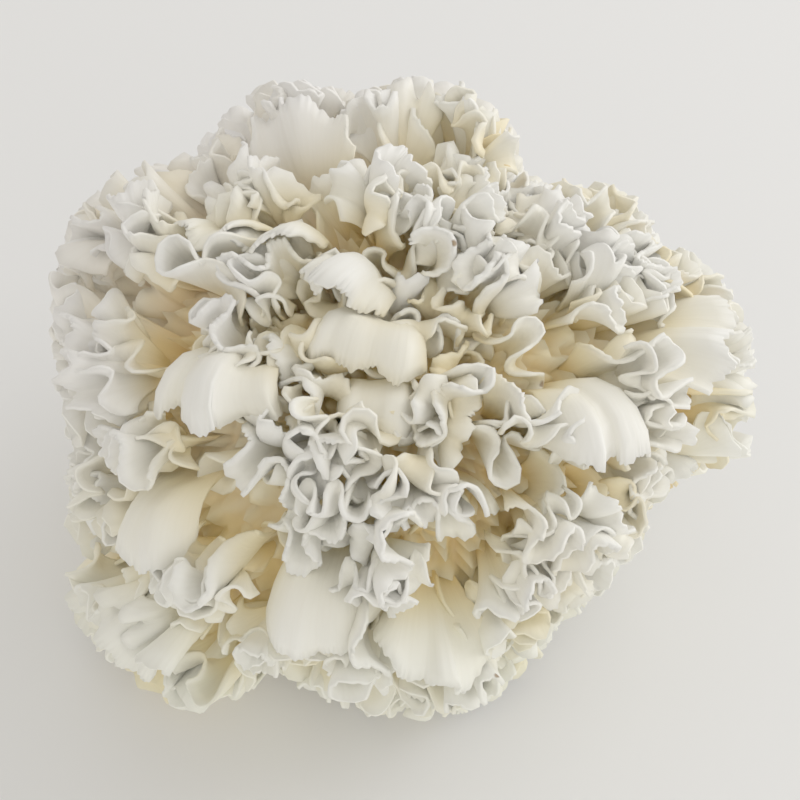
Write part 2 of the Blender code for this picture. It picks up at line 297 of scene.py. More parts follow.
def draw_frond(rng, direction, lean, size=1.0, level=1.0):
    """A frond with its numbers drawn from the ranges above."""
    full = head_radius(direction) * level
    width = rng.uniform(*RANGES["width"]) * size
    curl = rng.uniform(*RANGES["curl"])
    return Frond(
        direction=direction,
        lean=lean,
        root=ROOT_SHARE * ellipsoid_radius(direction),
        top=full * rng.uniform(*RANGES["reach"]),
        width=width,
        waves=width / rng.uniform(*RANGES["wave_length"]),
        ruffle=rng.uniform(*RANGES["ruffle"]),
        rise=rng.uniform(*RANGES["rise"]),
        roll=rng.uniform(*RANGES["roll"]),
        folds=rng.uniform(*RANGES["folds"]),
        fold=rng.uniform(*RANGES["fold"]),
        fold_phase=rng.uniform(0, math.tau),
        bow=rng.uniform(*RANGES["bow"]),
        round=rng.uniform(*RANGES["round"]),
        curl=curl,
        curl_start=rng.uniform(*RANGES["curl_start"]),
        noise=rng.uniform(0, math.tau, 8),
        level=level,
    )


print("a frond has", len(Frond.__dataclass_fields__), "values")


# %% Folds and waves
ROOT_WIDTH = 0.005
WIDENING = 0.75
FOLD_GROWTH = 1.4
FOLD_PINCH = 0.28
BOW_MIDDLE = 0.4


def wave_phase(frond, across):
    """Phase of the margin's waves, which are uneven in length."""
    n = frond.noise
    drift = 0.7 * np.sin(2.1 * across + n[1]) + 0.35 * np.sin(5.3 * across + n[2])
    return math.pi * frond.waves * across + drift + n[3]


def folded_sheet(frond, across, along):
    """The sheet before its margin ruffles: a fan that widens, with a few large folds."""
    drift = 0.4 * np.sin(2.3 * across + frond.noise[0])
    phase = math.pi * frond.folds * across + frond.fold_phase + drift
    width = ROOT_WIDTH + (frond.width - ROOT_WIDTH) * along**WIDENING
    x = 0.5 * width * across - FOLD_PINCH * frond.fold * along**2 * np.sin(2 * phase)
    y = frond.fold * along**FOLD_GROWTH * np.sin(phase) + frond.bow * (across**2 - BOW_MIDDLE) * along
    return x, y


def along_margin(x, y):
    """Length of the margin up to each column of a grid of rows, of which the last is the margin."""
    steps = np.hypot(np.diff(x[-1]), np.diff(y[-1]))
    return np.concatenate([(0.0,), np.cumsum(steps)])[None, :]


print("a frond is", 1000 * ROOT_WIDTH, "mm wide at its root")

# %% Ruffles
OVERHANG = 0.26
UNEVENNESS = 0.3
LIP_START = 0.62
NUDGE = 0.004


def margin_lip(along):
    """0 on most of the blade, growing to 1 at the margin."""
    return np.clip((along - LIP_START) / (1 - LIP_START), 0, 1) ** 2


def ruffled_sheet(frond, across, along):
    """The folded sheet, pushed out and back along its normal so that the margin ruffles."""
    x, y = folded_sheet(frond, across, along)
    x_before, y_before = folded_sheet(frond, across - NUDGE, along)
    x_after, y_after = folded_sheet(frond, across + NUDGE, along)
    tangent_x, tangent_y = x_after - x_before, y_after - y_before
    size = np.hypot(tangent_x, tangent_y)
    tangent_x, tangent_y = tangent_x / size, tangent_y / size

    phase = wave_phase(frond, across)
    amplitude = frond.ruffle * (0.8 + UNEVENNESS * np.sin(2.9 * across + frond.noise[4]))
    growth = along**frond.rise
    out = (amplitude * growth + frond.roll * margin_lip(along)) * np.sin(phase)
    slide = -OVERHANG * amplitude * growth**2 * np.sin(2 * phase)
    return x - tangent_y * out + tangent_x * slide, y + tangent_x * out + tangent_y * slide


print("ruffles lean over by up to", OVERHANG, "of their height")

# %% Ripples, teeth and scallops
# Each has a height and one or more lengths, and the length of a wave is 2 pi times the value
RIPPLE = 0.00045
RIPPLE_LENGTHS = (0.00125, 0.0021)
RIPPLE_DRIFT = 0.004
TOOTH = 0.0004
TOOTH_LENGTHS = (0.00028, 0.00061)
TOOTH_DRIFT = 0.0011
SCALLOP = 0.0009
SCALLOP_LENGTH = 0.0017
TOOTH_START = 0.88
SCALLOP_START = 0.55
SMOOTH_WIDTH = 0.022


def ripples(frond, along, s):
    """Shallow ripples across the blade, for a length s along the margin."""
    short, long = RIPPLE_LENGTHS
    ripple = 0.5 * np.sin(s / short + 2 * np.sin(s / RIPPLE_DRIFT) + frond.noise[6])
    return RIPPLE * along**4 * (ripple + 0.8 * np.sin(s / long + frond.noise[7]))


def teeth_and_scallops(frond, along, s):
    """How far the margin runs out and in. Small fronds have scallops alone."""
    short, long = TOOTH_LENGTHS
    teeth = np.sin(s / short + 2 * np.sin(s / TOOTH_DRIFT)) + 0.8 * np.sin(s / long + frond.noise[1])
    at_margin = np.clip((along - TOOTH_START) / (1 - TOOTH_START), 0, 1) * (frond.width > SMOOTH_WIDTH)
    near_margin = np.clip((along - SCALLOP_START) / (1 - SCALLOP_START), 0, 1) ** 2
    scallops = np.sin(s / SCALLOP_LENGTH + frond.noise[2])
    return TOOTH * teeth * at_margin + SCALLOP * scallops * near_margin


print("teeth are", 1000 * TOOTH, "mm deep and scallops", 1000 * SCALLOP, "mm")

# %% The blade bent over and set on the head
FLOOR_CLEAR = 0.002
FLOOR_PRESS = 0.001
DROOP = 0.6
RUFFLE_DROOP = 0.35
MARGIN_UNEVENNESS = 0.05
MIDDLE_SHARE = 0.85


def frond_surface(frond, across, along, fine=False):
    """Points of a frond, for across from -1 to 1 and along from 0 at the root to 1 at the margin."""
    x, y = ruffled_sheet(frond, across, along)
    teeth = 0.0
    if fine:
        s = along_margin(x, y)
        y = y + ripples(frond, along, s)
        teeth = teeth_and_scallops(frond, along, s)

    straight_share = frond.curl_start
    arc_share = (1 - straight_share) / frond.curl
    length = (frond.top - frond.root) / (straight_share + arc_share * math.sin(min(frond.curl, math.pi / 2)))
    turn = frond.curl * np.clip((along - straight_share) / (1 - straight_share), 0, 1)
    arc_radius = length * arc_share
    outline = 1 - frond.round * np.abs(across) ** 4
    outline = outline + MARGIN_UNEVENNESS * np.sin(3.7 * across + frond.noise[5])
    rise = (length * np.minimum(along, straight_share) + arc_radius * np.sin(turn)) * outline
    sideways = arc_radius * (1 - np.cos(turn)) * outline
    droop = frond.roll * margin_lip(along) + RUFFLE_DROOP * frond.ruffle * along**frond.rise
    droop = DROOP * droop * np.sin(wave_phase(frond, across)) ** 2
    radius = frond.root + rise - y * np.sin(turn) - droop + teeth * np.cos(turn)
    y = y * np.cos(turn) + sideways + teeth * np.sin(turn)

    middle = frond.root + MIDDLE_SHARE * (frond.top - frond.root)
    side = np.cross(frond.lean, frond.direction)
    ray = frond.direction + (x / middle)[..., None] * side + (y / middle)[..., None] * frond.lean
    points = HEAD_CENTRE + radius[..., None] * unit(ray)
    return pressed_level(points)


def pressed_level(points):
    """Fronds below the head are pressed level, clear of the plane of the cut face."""
    low = points[..., 2] < FLOOR_CLEAR
    sunk = (points[low, 2] - FLOOR_CLEAR) / (2 * FLOOR_PRESS)
    points[low, 2] = FLOOR_CLEAR - FLOOR_PRESS * (1 - np.exp(sunk))
    return points


print("fronds stay", 1000 * (FLOOR_CLEAR - FLOOR_PRESS), "mm above the plane of the cut")

# %% Reach of a frond
# A frond this near the limb is stretched to meet the outline, within these shares of its reach
AT_LIMB = 0.35
SHORTEST = 0.85
LONGEST = 1.10
COARSE_GRID = np.meshgrid(np.linspace(-1, 1, 17), (0.25, 0.5, 0.75, 1.0))


def coarse_points(frond):
    return frond_surface(frond, *COARSE_GRID).reshape(-1, 3)


def meet_outline(frond):
    """Sets a frond's reach: it keeps within the seen outline, and at the limb it just meets it."""
    for _ in range(2):
        rays = coarse_points(frond) - HEAD_CENTRE
        right, up, back = rays @ VIEW_RIGHT, rays @ VIEW_UP, rays @ VIEW_BACK
        seen = np.hypot(right, up) * VIEW_DISTANCE / (VIEW_DISTANCE - back)
        angle = np.degrees(np.arctan2(up, right)) % 360
        share = (seen / np.interp(angle, OUTLINE_ANGLES, OUTLINE_RADII)).max()
        if share > 1 or abs(frond.direction @ VIEW_BACK) < AT_LIMB:
            frond.top *= np.clip(1 / share, SHORTEST, LONGEST)


print("reach may change by", round(1 - SHORTEST, 2), "down and", round(LONGEST - 1, 2), "up")

# %% [markdown]
# ## Where the fronds stand
#
# Fronds fill a head evenly but never cross much, because they grow at the same time. Physics
# could push them apart, but a simple rule is enough and gives the same head each run: spread
# spots along a spiral, and at each spot try a few fronds and keep the one that comes nearest
# to its neighbours least often. The broad fans that catch the eye are listed and placed first.

# %% Broad fans
# Each has its pixel, the angle it leans to in the picture, width, curl, waves, ruffle and gain in reach
FANS = {
    "middle fan": (388, 285, -103, 0.030, 2.3, 1.3, 0.0018, 1.08),
    "bottom fan": (335, 590, -97, 0.027, 1.7, 1.3, 0.0018, 1.05),
    "saddle": (208, 345, -100, 0.034, 1.9, 1.8, 0.0045, 1.06),
    "right face fan": (632, 385, -75, 0.027, 1.8, 1.5, 0.0022, 1.04),
    "lowest fan": (455, 650, -93, 0.028, 0.5, 1.6, 0.0026, 1.08),
    "left fan": (160, 495, -110, 0.030, 1.3, 1.4, 0.0022, 1.04),
    "upper left fan": (215, 185, -75, 0.027, 1.0, 1.6, 0.0022, 1.04),
    "second upper fan": (268, 180, -85, 0.026, 1.2, 1.3, 0.0024, 1.04),
    "upper middle fan": (372, 215, -120, 0.026, 1.6, 1.8, 0.0026, 1.03),
    "small middle fan": (388, 375, -95, 0.022, 2.0, 1.4, 0.0020, 1.02),
    "right edge fan": (715, 330, -20, 0.036, 0.6, 2.4, 0.0028, 1.06),
    "top edge fan": (290, 105, 100, 0.036, 0.6, 2.4, 0.0028, 1.04),
}
ALL_FANS = {"rise": 2.0, "roll": 0.0012, "fold": 0.0025, "bow": -0.002, "round": 0.3, "curl_start": 0.5}
SEED = 7


def broad_fan(rng, pixel_x, pixel_y, angle, width, curl, waves, ruffle, gain):
    """A fan from the list: broader and smoother, and rolled over towards the view."""
    direction = facing(pixel_x, pixel_y)
    angle = math.radians(angle)
    lean = math.cos(angle) * VIEW_RIGHT + math.sin(angle) * VIEW_UP
    lean = unit(lean - direction * (lean @ direction))
    fan = draw_frond(rng, direction, lean)
    fan.top = head_radius(direction) * gain
    fan.width, fan.curl, fan.waves, fan.ruffle = width, curl, waves, ruffle
    for name, value in ALL_FANS.items():
        setattr(fan, name, value)
    meet_outline(fan)
    return fan


rng = np.random.default_rng(SEED)
fans = [broad_fan(rng, *fan) for fan in FANS.values()]
taken = np.concatenate([coarse_points(fan) for fan in fans])
print(len(fans), "broad fans placed")

# %% The try that crosses least
CLEAR = 0.0022
LOW_POINT_COST = 5


def least_crossing(tries, draw, taken, least_height):
    """Of a few drawn fronds, the one that comes nearest to its neighbours least often."""
    best, best_points, fewest = None, None, math.inf
    for _ in range(tries):
        frond = draw()
        meet_outline(frond)
        points = coarse_points(frond)
        near = taken[(taken - HEAD_CENTRE) @ frond.direction > least_height]
        gaps = ((points[:, None] - near[None]) ** 2).sum(-1).min(1, initial=1.0)
        crossing = (gaps < CLEAR**2).sum() + LOW_POINT_COST * (points[:, 2] < FLOOR_CLEAR).sum()
        if crossing < fewest:
            best, best_points, fewest = frond, points, crossing
    return best, best_points, fewest


print("points nearer than", 1000 * CLEAR, "mm count as crossing")

# %% Spread the fronds
FRONDS = 98
TRIES = 12
LOWEST = -0.80
SCATTER = 0.07
SWING = 0.9
MIDDLE_SWING = 1.5
CLUSTER_MIDDLE = 9
WORST_CROSSING = 26
NEAR_HEIGHT = 0.02
GOLDEN_ANGLE = math.pi * (3 - math.sqrt(5))


def lean_from_cluster(rng, direction):
    """A frond leans away from the middle of its cluster, give or take a turn."""
    nearness = CLUSTERS @ direction
    k = int(np.argmax(nearness))
    away = direction - CLUSTERS[k] * nearness[k]
    away = unit(away - direction * (away @ direction) + 1e-6 * VIEW_RIGHT)
    swing = rng.normal(0, SWING)
    if nearness[k] > math.cos(math.radians(CLUSTER_MIDDLE)):
        swing += rng.uniform(-MIDDLE_SWING, MIDDLE_SWING)
    return math.cos(swing) * away + math.sin(swing) * np.cross(direction, away)


def frond_near(rng, spot, size, levels):
    """A frond near a spot of the spiral."""
    direction = unit(spot + rng.normal(0, SCATTER, 3))
    lean = lean_from_cluster(rng, direction)
    level = rng.uniform(*levels) if levels else 1.0
    return draw_frond(rng, direction, lean, size, level)


def spread_fronds(rng, taken, count, tries, turn=0.0, worst=WORST_CROSSING, size=1.0, levels=None):
    """Fronds along a spiral, each the one of a few tries that crosses its neighbours least."""
    fronds = []
    for i in range(count):
        height = 1 - (i + 0.5) / count * (1 - LOWEST)
        level = math.sqrt(1 - height**2)
        around = GOLDEN_ANGLE * i + turn
        spot = np.array((level * math.cos(around), level * math.sin(around), height))
        draw = partial(frond_near, rng, spot, size, levels)
        best, points, crossing = least_crossing(tries, draw, taken, NEAR_HEIGHT)
        if crossing <= worst:
            fronds.append(best)
            taken = np.concatenate([taken, points])
    return fronds, taken


fronds, taken = spread_fronds(rng, taken, FRONDS, TRIES)
print(len(fronds), "fronds placed")

# %% [markdown]
# ## Smaller fronds between them
#
# Between the large fronds of a real head, shorter ones fill the depths, and every large frond
# divides again near its margin. They are too many for the solid model, so they are added here,
# by the same rule: some rooted beside them, and side lobes rooted in the face of a large frond.

# %% Fill the depths
INNER_FRONDS = 110
INNER_LEVELS = (0.80, 0.97)
INNER_SIZE = 0.75
INNER_TRIES = 4
INNER_TURN = 1.1
inner, taken = spread_fronds(
    rng, taken, INNER_FRONDS, INNER_TRIES, INNER_TURN, worst=math.inf, size=INNER_SIZE, levels=INNER_LEVELS
)
print(len(inner), "smaller fronds placed")

# %% Side lobes
LOBES_EACH = 3
LOBE_TRIES = 4
LOBE_SIZE = 0.72
LOBE_RUFFLE = 0.75
LOBE_FOLD = 0.5
LOBE_LEVELS = (0.88, 1.0)
LOBE_ROOTS = (0.40, 0.66)
LOBE_SPREAD = 0.75
LOBE_SWING = 0.5
LOBE_CURL = (0.5, 1.3)
LOBE_CURL_START = 0.3
LOBE_SINK = 0.0012
SHORTEST_LOBE = 0.012
LOBE_NEAR_HEIGHT = 0.04


def side_lobe(rng, parent):
    """A small frond that stands out of the face of a large one."""
    across, along = rng.uniform(-LOBE_SPREAD, LOBE_SPREAD), rng.uniform(*LOBE_ROOTS)
    spot = frond_surface(parent, np.array([[across]]), np.array([[along]])).reshape(3) - HEAD_CENTRE
    root = np.linalg.norm(spot)
    direction = spot / root
    side = rng.choice((-1.0, 1.0))
    swing = rng.normal(0, LOBE_SWING)
    lean = side * parent.lean * math.cos(swing) + np.cross(parent.direction, parent.lean) * math.sin(swing)
    lean = unit(lean - direction * (lean @ direction))
    level = rng.uniform(*LOBE_LEVELS)
    lobe = draw_frond(rng, direction, lean, LOBE_SIZE, level)
    lobe.root = root - LOBE_SINK
    lobe.top = max(min(lobe.top, parent.top * level), lobe.root + SHORTEST_LOBE)
    lobe.curl = rng.uniform(*LOBE_CURL)
    lobe.curl_start = LOBE_CURL_START
    lobe.ruffle *= LOBE_RUFFLE
    lobe.fold *= LOBE_FOLD
    lobe.bow *= LOBE_FOLD
    return lobe


lobes = []
for parent in fronds:
    for _ in range(LOBES_EACH):
        draw = partial(side_lobe, rng, parent)
        lobe, points, crossing = least_crossing(LOBE_TRIES, draw, taken, LOBE_NEAR_HEIGHT)
        lobes.append(lobe)
        taken = np.concatenate([taken, points])
print(len(lobes), "side lobes placed")

# %% [markdown]
# ## From formula to mesh
#
# A sheet could be built face by face, but a grid primitive already has the right faces. One
# grid is added for the large fronds and one for the small, and each frond takes a copy whose
# points are moved on to the formula. The rows are closer together towards the margin, where
# the sheet bends most. Three attributes go with the points for the material: how far along the
# frond a point is, how deep it lies in the head, and its place across the frond. The sheets of
# a region are joined, and Solidify gives them their wall.

# %% Shape the sheets
LARGE_GRID = (104, 7)
SMALL_GRID = (40, 6)
ROW_CROWDING = 0.62
EASE = 0.003
BOX_CLEAR = 0.0008
BOX_LOW = np.array(cad_box[0]) + BOX_CLEAR
BOX_HIGH = np.array(cad_box[1]) - BOX_CLEAR


def eased_into_box(points):
    """The fine detail reaches further than the solid, so the outermost points are eased in."""
    over = np.maximum(points - (BOX_HIGH - EASE), 0)
    points = np.where(over > 0, BOX_HIGH - EASE * np.exp(-over / EASE), points)
    under = np.maximum((BOX_LOW + EASE) - points, 0)
    return np.where(under > 0, BOX_LOW + EASE * np.exp(-under / EASE), points)


def grid_template(name, columns, rows):
    bpy.ops.mesh.primitive_grid_add(x_subdivisions=columns, y_subdivisions=rows, size=2)
    template = bpy.context.object
    template.name = template.data.name = name
    return template


def shaped_sheet(template, frond, name):
    """A copy of the grid, moved on to the frond's formula."""
    mesh = template.data.copy()
    mesh.name = name
    points = np.empty(len(mesh.vertices) * 3)
    mesh.vertices.foreach_get("co", points)
    across, height = points.reshape(-1, 3)[:, 0], points.reshape(-1, 3)[:, 1]
    columns = int((height == height[0]).sum())
    across = across.reshape(-1, columns)
    along = np.clip((height.reshape(-1, columns) + 1) / 2, 0, 1) ** ROW_CROWDING
    surface = eased_into_box(frond_surface(frond, across, along, fine=True))
    mesh.vertices.foreach_set("co", surface.reshape(-1))
    hollow = min(0.0, relief(frond.direction)) / ellipsoid_radius(frond.direction)
    share = np.linalg.norm(surface - HEAD_CENTRE, axis=-1) / frond.top * frond.level * (1 + hollow)
    margin_steps = np.linalg.norm(np.diff(surface[-1], axis=0), axis=-1)
    place = np.concatenate([(0.0,), np.cumsum(margin_steps)]) + frond.noise[0]
    place = np.broadcast_to(place, along.shape)
    for attribute, values in (("along", along), ("share", share), ("place", place)):
        layer = mesh.attributes.new(attribute, "FLOAT", "POINT")
        layer.data.foreach_set("value", values.reshape(-1).astype(np.float32))
    sheet = bpy.data.objects.new(name, mesh)
    bpy.context.scene.collection.objects.link(sheet)
    return sheet


def joined(name, sheets, wall):
    """The sheets as one object with a wall."""
    bpy.ops.object.select_all(action="DESELECT")
    for sheet in sheets:
        sheet.select_set(True)
    bpy.context.view_layer.objects.active = sheets[0]
    bpy.ops.object.join()
    piece = bpy.context.object
    piece.name = piece.data.name = name
    solidify = piece.modifiers.new("wall", "SOLIDIFY")
    solidify.thickness = wall
    solidify.offset = 0
    bpy.ops.object.modifier_apply(modifier=solidify.name)
    bpy.ops.object.shade_smooth()
    return piece


large_grid = grid_template("large_grid", *LARGE_GRID)
small_grid = grid_template("small_grid", *SMALL_GRID)
print("grids of", len(large_grid.data.vertices), "and", len(small_grid.data.vertices), "points")

# %% Group the fronds by region
WALL = 0.0010
INNER_WALL = 0.0008
SECTORS = 5


def sector_of(frond):
    """Which fifth of the compass a frond stands in."""
    azimuth = math.atan2(frond.direction[1], frond.direction[0]) % math.tau
    return int(azimuth / math.tau * SECTORS) % SECTORS


pieces = []
for k in range(SECTORS):
    group = [f for f in fronds if sector_of(f) == k]
    sheets = [shaped_sheet(large_grid, f, f"sheet_{k}_{i}") for i, f in enumerate(group)]
    pieces.append(joined(f"fronds_{k + 1}", sheets, WALL))
sheets = [shaped_sheet(large_grid, f, f"fan_{i}") for i, f in enumerate(fans)]
pieces.append(joined("broad_fans", sheets, WALL))
for k in range(SECTORS):
    group = [f for f in inner if sector_of(f) == k]
    sheets = [shaped_sheet(small_grid, f, f"inner_{k}_{i}") for i, f in enumerate(group)]
    pieces.append(joined(f"inner_fronds_{k + 1}", sheets, INNER_WALL))
    group = [f for f in lobes if sector_of(f) == k]
    sheets = [shaped_sheet(small_grid, f, f"lobe_{k}_{i}") for i, f in enumerate(group)]
    pieces.append(joined(f"side_lobes_{k + 1}", sheets, INNER_WALL))
for grid in (large_grid, small_grid):
    bpy.data.objects.remove(grid)
for piece in pieces:
    print(piece.name, 2 * len(piece.data.polygons), "triangles")

# %% [markdown]
# ## Inner folds and stem
#
# Where fronds part, the folds that they spring from show, not a smooth core. They are a
# sphere whose points are moved out to a share of the head's radius, with winding ridges from
# a gyroid, which is a cheap formula for folds that never end. The stem is a cone that ends in
# the flat cut face, and Bevel wears its rim.

# %% Inner folds
FOLD_LEVEL = 0.72
FOLD_HEIGHT = 0.0075
FOLD_LENGTH = 0.0016
FOLD_WARP = 1.6
WARP_PITCH = 0.31
RIDGE_WIDTH = 0.9
RIDGE_LIGHT = 0.02
LOWEST_FOLD = 0.009
FOLD_FINENESS = 6
bpy.ops.mesh.primitive_ico_sphere_add(subdivisions=FOLD_FINENESS, radius=1)
folds = bpy.context.object
folds.name = folds.data.name = "inner_folds"
unit_points = np.empty(len(folds.data.vertices) * 3)
folds.data.vertices.foreach_get("co", unit_points)
directions = unit(unit_points.reshape(-1, 3))
reach = np.array([head_radius(d) for d in directions])
sunk = np.array([min(0.0, relief(d)) for d in directions]) / ellipsoid_radius(directions)
q = directions * reach[:, None] / FOLD_LENGTH
q = q + FOLD_WARP * np.sin(WARP_PITCH * q[:, (1, 2, 0)])
gyroid = (np.sin(q) * np.cos(q[:, (1, 2, 0)])).sum(-1)
ridge = 1 - np.clip(np.abs(gyroid) / RIDGE_WIDTH, 0, 1)
distance = FOLD_LEVEL * reach + FOLD_HEIGHT * (ridge - 0.5)
points = HEAD_CENTRE + directions * distance[:, None]
points[:, 2] = np.maximum(points[:, 2], LOWEST_FOLD)
folds.data.vertices.foreach_set("co", points.reshape(-1))
share = distance / reach * (1 + sunk) + RIDGE_LIGHT * ridge
for attribute, values in (("along", ridge), ("share", share), ("place", q[:, 0] / 1000)):
    layer = folds.data.attributes.new(attribute, "FLOAT", "POINT")
    layer.data.foreach_set("value", values.astype(np.float32))
bpy.ops.object.shade_smooth()
pieces.append(folds)
print("inner folds of", len(folds.data.polygons), "triangles")

# %% Stem
STEM_CUT_RADIUS = 0.023
STEM_TOP_RADIUS = 0.031
STEM_HEIGHT = 0.034
STEM_SIDES = 64
STEM_RIM = 0.0008
RIM_STEPS = 3
RIM_ANGLE = math.radians(60)
bpy.ops.mesh.primitive_cone_add(
    vertices=STEM_SIDES,
    radius1=STEM_CUT_RADIUS,
    radius2=STEM_TOP_RADIUS,
    depth=STEM_HEIGHT,
    location=(0, 0, STEM_HEIGHT / 2),
)
stem = bpy.context.object
stem.name = stem.data.name = "stem"
bpy.ops.object.transform_apply(location=True, rotation=True, scale=True)
rim = stem.modifiers.new("worn_rim", "BEVEL")
rim.width = STEM_RIM
rim.segments = RIM_STEPS
rim.angle_limit = RIM_ANGLE
bpy.ops.object.modifier_apply(modifier=rim.name)
pieces.append(stem)
print("stem", 2000 * STEM_CUT_RADIUS, "mm across at the cut")

# %% [markdown]
# ## The tissue
#
# Fresh tissue is white, and turns cream and then ochre in the depths, where it is older and
# wetter. A picture could paint that, but the attributes on the points know it exactly: a ramp
# over the depth gives the colour, and fine streaks that run along each frond break it up.

# %% Helpers for materials
class Wiring:
    """Short names for the nodes of one material."""

    def __init__(self, name):
        self.material = bpy.data.materials.new(name)
        self.material.use_nodes = True
        self.nodes = self.material.node_tree.nodes
        self.links = self.material.node_tree.links
        self.shader = self.nodes["Principled BSDF"]

    def link(self, source, target):
        self.links.new(source, target)

    def attribute(self, name):
        node = self.nodes.new("ShaderNodeAttribute")
        node.attribute_name = name
        return node.outputs["Fac"]

    def position(self):
        return self.nodes.new("ShaderNodeTexCoord").outputs["Object"]

    def noise(self, vector, scale, detail):
        node = self.nodes.new("ShaderNodeTexNoise")
        node.inputs["Scale"].default_value = scale
        node.inputs["Detail"].default_value = detail
        self.link(vector, node.inputs["Vector"])
        return node.outputs["Fac"]

    def combine(self, x, y):
        node = self.nodes.new("ShaderNodeCombineXYZ")
        self.link(x, node.inputs["X"])
        self.link(y, node.inputs["Y"])
        return node.outputs["Vector"]

    def maths(self, operation, first, second):
        node = self.nodes.new("ShaderNodeMath")
        node.operation = operation
        for value, socket in zip((first, second), node.inputs):
            if isinstance(value, (int, float)):
                socket.default_value = value
            else:
                self.link(value, socket)
        return node.outputs["Value"]

    def ranged(self, value, low, high, to_low=0.0, to_high=1.0):
        node = self.nodes.new("ShaderNodeMapRange")
        limits = {"From Min": low, "From Max": high, "To Min": to_low, "To Max": to_high}
        for key, number in limits.items():
            node.inputs[key].default_value = number
        self.link(value, node.inputs["Value"])
        return node.outputs["Result"]

    def ramp(self, value, stops):
        node = self.nodes.new("ShaderNodeValToRGB")
        elements = node.color_ramp.elements
        while len(elements) < len(stops):
            elements.new(0.5)
        for element, (place, colour) in zip(elements, stops):
            element.position = place
            element.color = (*colour, 1)
        self.link(value, node.inputs["Fac"])
        return node.outputs["Color"]

    def mix(self, factor, first, second, blend="MIX"):
        node = self.nodes.new("ShaderNodeMix")
        node.data_type = "RGBA"
        node.blend_type = blend
        self.link(factor, node.inputs["Factor"])
        sockets = [i for i in node.inputs if i.type == "RGBA"]
        for value, socket in zip((first, second), sockets):
            if isinstance(value, tuple):
                socket.default_value = (*value, 1)
            else:
                self.link(value, socket)
        return [o for o in node.outputs if o.type == "RGBA"][0]

    def bump(self, height, distance):
        node = self.nodes.new("ShaderNodeBump")
        node.inputs["Distance"].default_value = distance
        self.link(height, node.inputs["Height"])
        self.link(node.outputs["Normal"], self.shader.inputs["Normal"])


print("wiring helpers ready")

# %% Colours of the tissue
# Shares of the head's radius, each with its colour
TISSUE_STOPS = (
    (0.60, (0.56, 0.31, 0.08)),
    (0.71, (0.82, 0.57, 0.21)),
    (0.80, (0.94, 0.80, 0.47)),
    (0.90, (0.96, 0.915, 0.75)),
    (1.00, (0.96, 0.945, 0.875)),
)
# Painted cool shade: a lavender-grey mixed in towards the back and the left, where less light falls
COOL_PAINTED_SHADE = (0.94, 0.90, 0.935)
COOL_SHADE_MOST = 0.65
# Painted bounce light: a green-yellow multiplied in low on the head
WARM_PAINTED_BOUNCE = (0.97, 0.985, 0.84)
WARM_BOUNCE_MOST = 0.8
STREAK_SHADE = (0.80, 0.76, 0.66)
STREAK_MOST = 0.14
SPECK = (0.30, 0.20, 0.10)
print(len(TISSUE_STOPS), "colours from the depths to the margins")

# %% Tissue material
# Scales are noise cells to the metre. Slopes are change to the metre along the head's axes.
MIDDLE_OF_NOISE = (0.3, 0.7)
PATCH_SCALE = 22
PATCH_DEPTH = 0.05
# Patchiness of the painted cool shade and of the painted bounce light
PATCH_COOL_SHADE = 0.3
PATCH_WARM_BOUNCE = 0.2
# Slopes of the painted cool shade
COOL_SHADE_SLOPE_X = -5.0
COOL_SHADE_SLOPE_Y = 6.0
COOL_SHADE_FULL = 0.8
# Slope and start of the painted bounce light
WARM_BOUNCE_SLOPE_Z = -9.0
WARM_BOUNCE_START = -0.9
STREAK_SCALE = 600
STREAK_STRETCH = 0.004
STREAK_RANGE = (0.45, 0.75)
STREAK_BUMP = 0.0001
SPECK_SCALE = 45
SPECK_EDGES = (0.045, 0.025)
TISSUE_ROUGHNESS = (0.42, 0.58)


def tissue_material():
    w = Wiring("fresh_tissue")
    position = w.position()
    patches = w.noise(position, PATCH_SCALE, 1.0)

    def patchy(value, most):
        """The value, give or take a soft patch."""
        return w.maths("ADD", value, w.ranged(patches, *MIDDLE_OF_NOISE, -most, most))

    colour = w.ramp(patchy(w.attribute("share"), PATCH_DEPTH), TISSUE_STOPS)

    # Painted cool shade towards the back and the left, and painted green-yellow bounce light low on the head
    axes = w.nodes.new("ShaderNodeSeparateXYZ")
    w.link(position, axes.inputs["Vector"])
    cool_shade = w.maths("MULTIPLY", axes.outputs["Y"], COOL_SHADE_SLOPE_Y)
    cool_shade = w.maths("ADD", cool_shade, w.maths("MULTIPLY", axes.outputs["X"], COOL_SHADE_SLOPE_X))
    cool_shade = w.ranged(patchy(cool_shade, PATCH_COOL_SHADE), 0.0, COOL_SHADE_FULL, 0.0, COOL_SHADE_MOST)
    colour = w.mix(cool_shade, colour, COOL_PAINTED_SHADE)
    # Painted green-yellow bounce light, low on the head
    warm_bounce = patchy(w.maths("MULTIPLY", axes.outputs["Z"], WARM_BOUNCE_SLOPE_Z), PATCH_WARM_BOUNCE)
    colour = w.mix(w.ranged(warm_bounce, WARM_BOUNCE_START, 0.0, 0.0, WARM_BOUNCE_MOST), colour, WARM_PAINTED_BOUNCE, "MULTIPLY")

    # Streaks run from the root to the margin
    lengthwise = w.maths("MULTIPLY", w.attribute("along"), STREAK_STRETCH)
    streaks = w.noise(w.combine(w.attribute("place"), lengthwise), STREAK_SCALE, 2.0)
    colour = w.mix(w.ranged(streaks, *STREAK_RANGE, 0.0, STREAK_MOST), colour, STREAK_SHADE, "MULTIPLY")

    # A few brown specks
    cells = w.nodes.new("ShaderNodeTexVoronoi")
    cells.inputs["Scale"].default_value = SPECK_SCALE
    w.link(position, cells.inputs["Vector"])
    colour = w.mix(w.ranged(cells.outputs["Distance"], *SPECK_EDGES), colour, SPECK)
    w.link(colour, w.shader.inputs["Base Color"])

    w.bump(streaks, STREAK_BUMP)
    w.link(w.ranged(streaks, *MIDDLE_OF_NOISE, *TISSUE_ROUGHNESS), w.shader.inputs["Roughness"])
    return w.material


